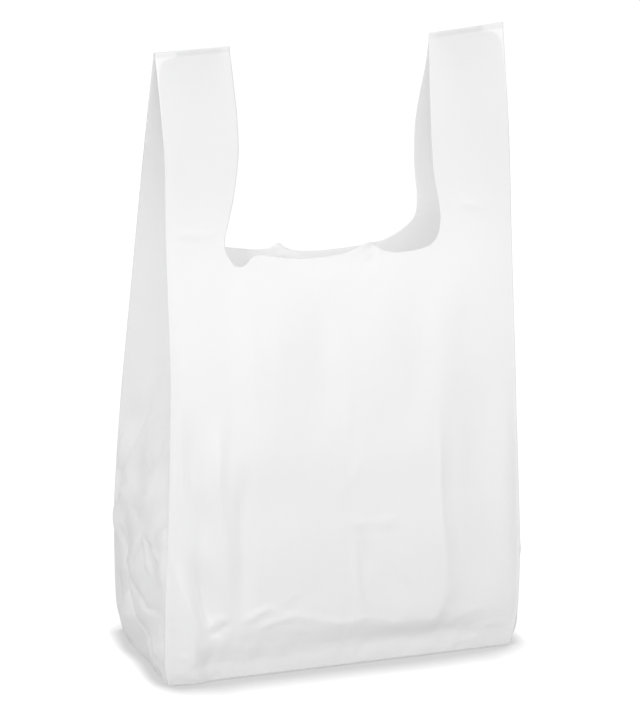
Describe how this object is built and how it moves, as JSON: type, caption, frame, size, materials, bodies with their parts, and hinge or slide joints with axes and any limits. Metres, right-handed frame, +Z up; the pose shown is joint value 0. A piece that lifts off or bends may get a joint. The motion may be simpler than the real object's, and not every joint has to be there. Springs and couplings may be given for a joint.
{
  "type": "plastic carrier bag",
  "caption": "Open vest-style carrier bag of thin white plastic film, with side gussets, a flat base and handles left by a U-shaped cut.",
  "frame": {"origin": "on the floor, below the middle of the bag's box", "axes": "+Z up, +X to the right of the front panel, -Y out of the front panel"},
  "size_m": [0.319, 0.147, 0.523],
  "materials": {
    "white_film": "thin milky film with a satin sheen, soft folds and creases"
  },
  "bodies": {
    "root": {"carrier_bag": "white_film"}
  },
  "joints": []
}
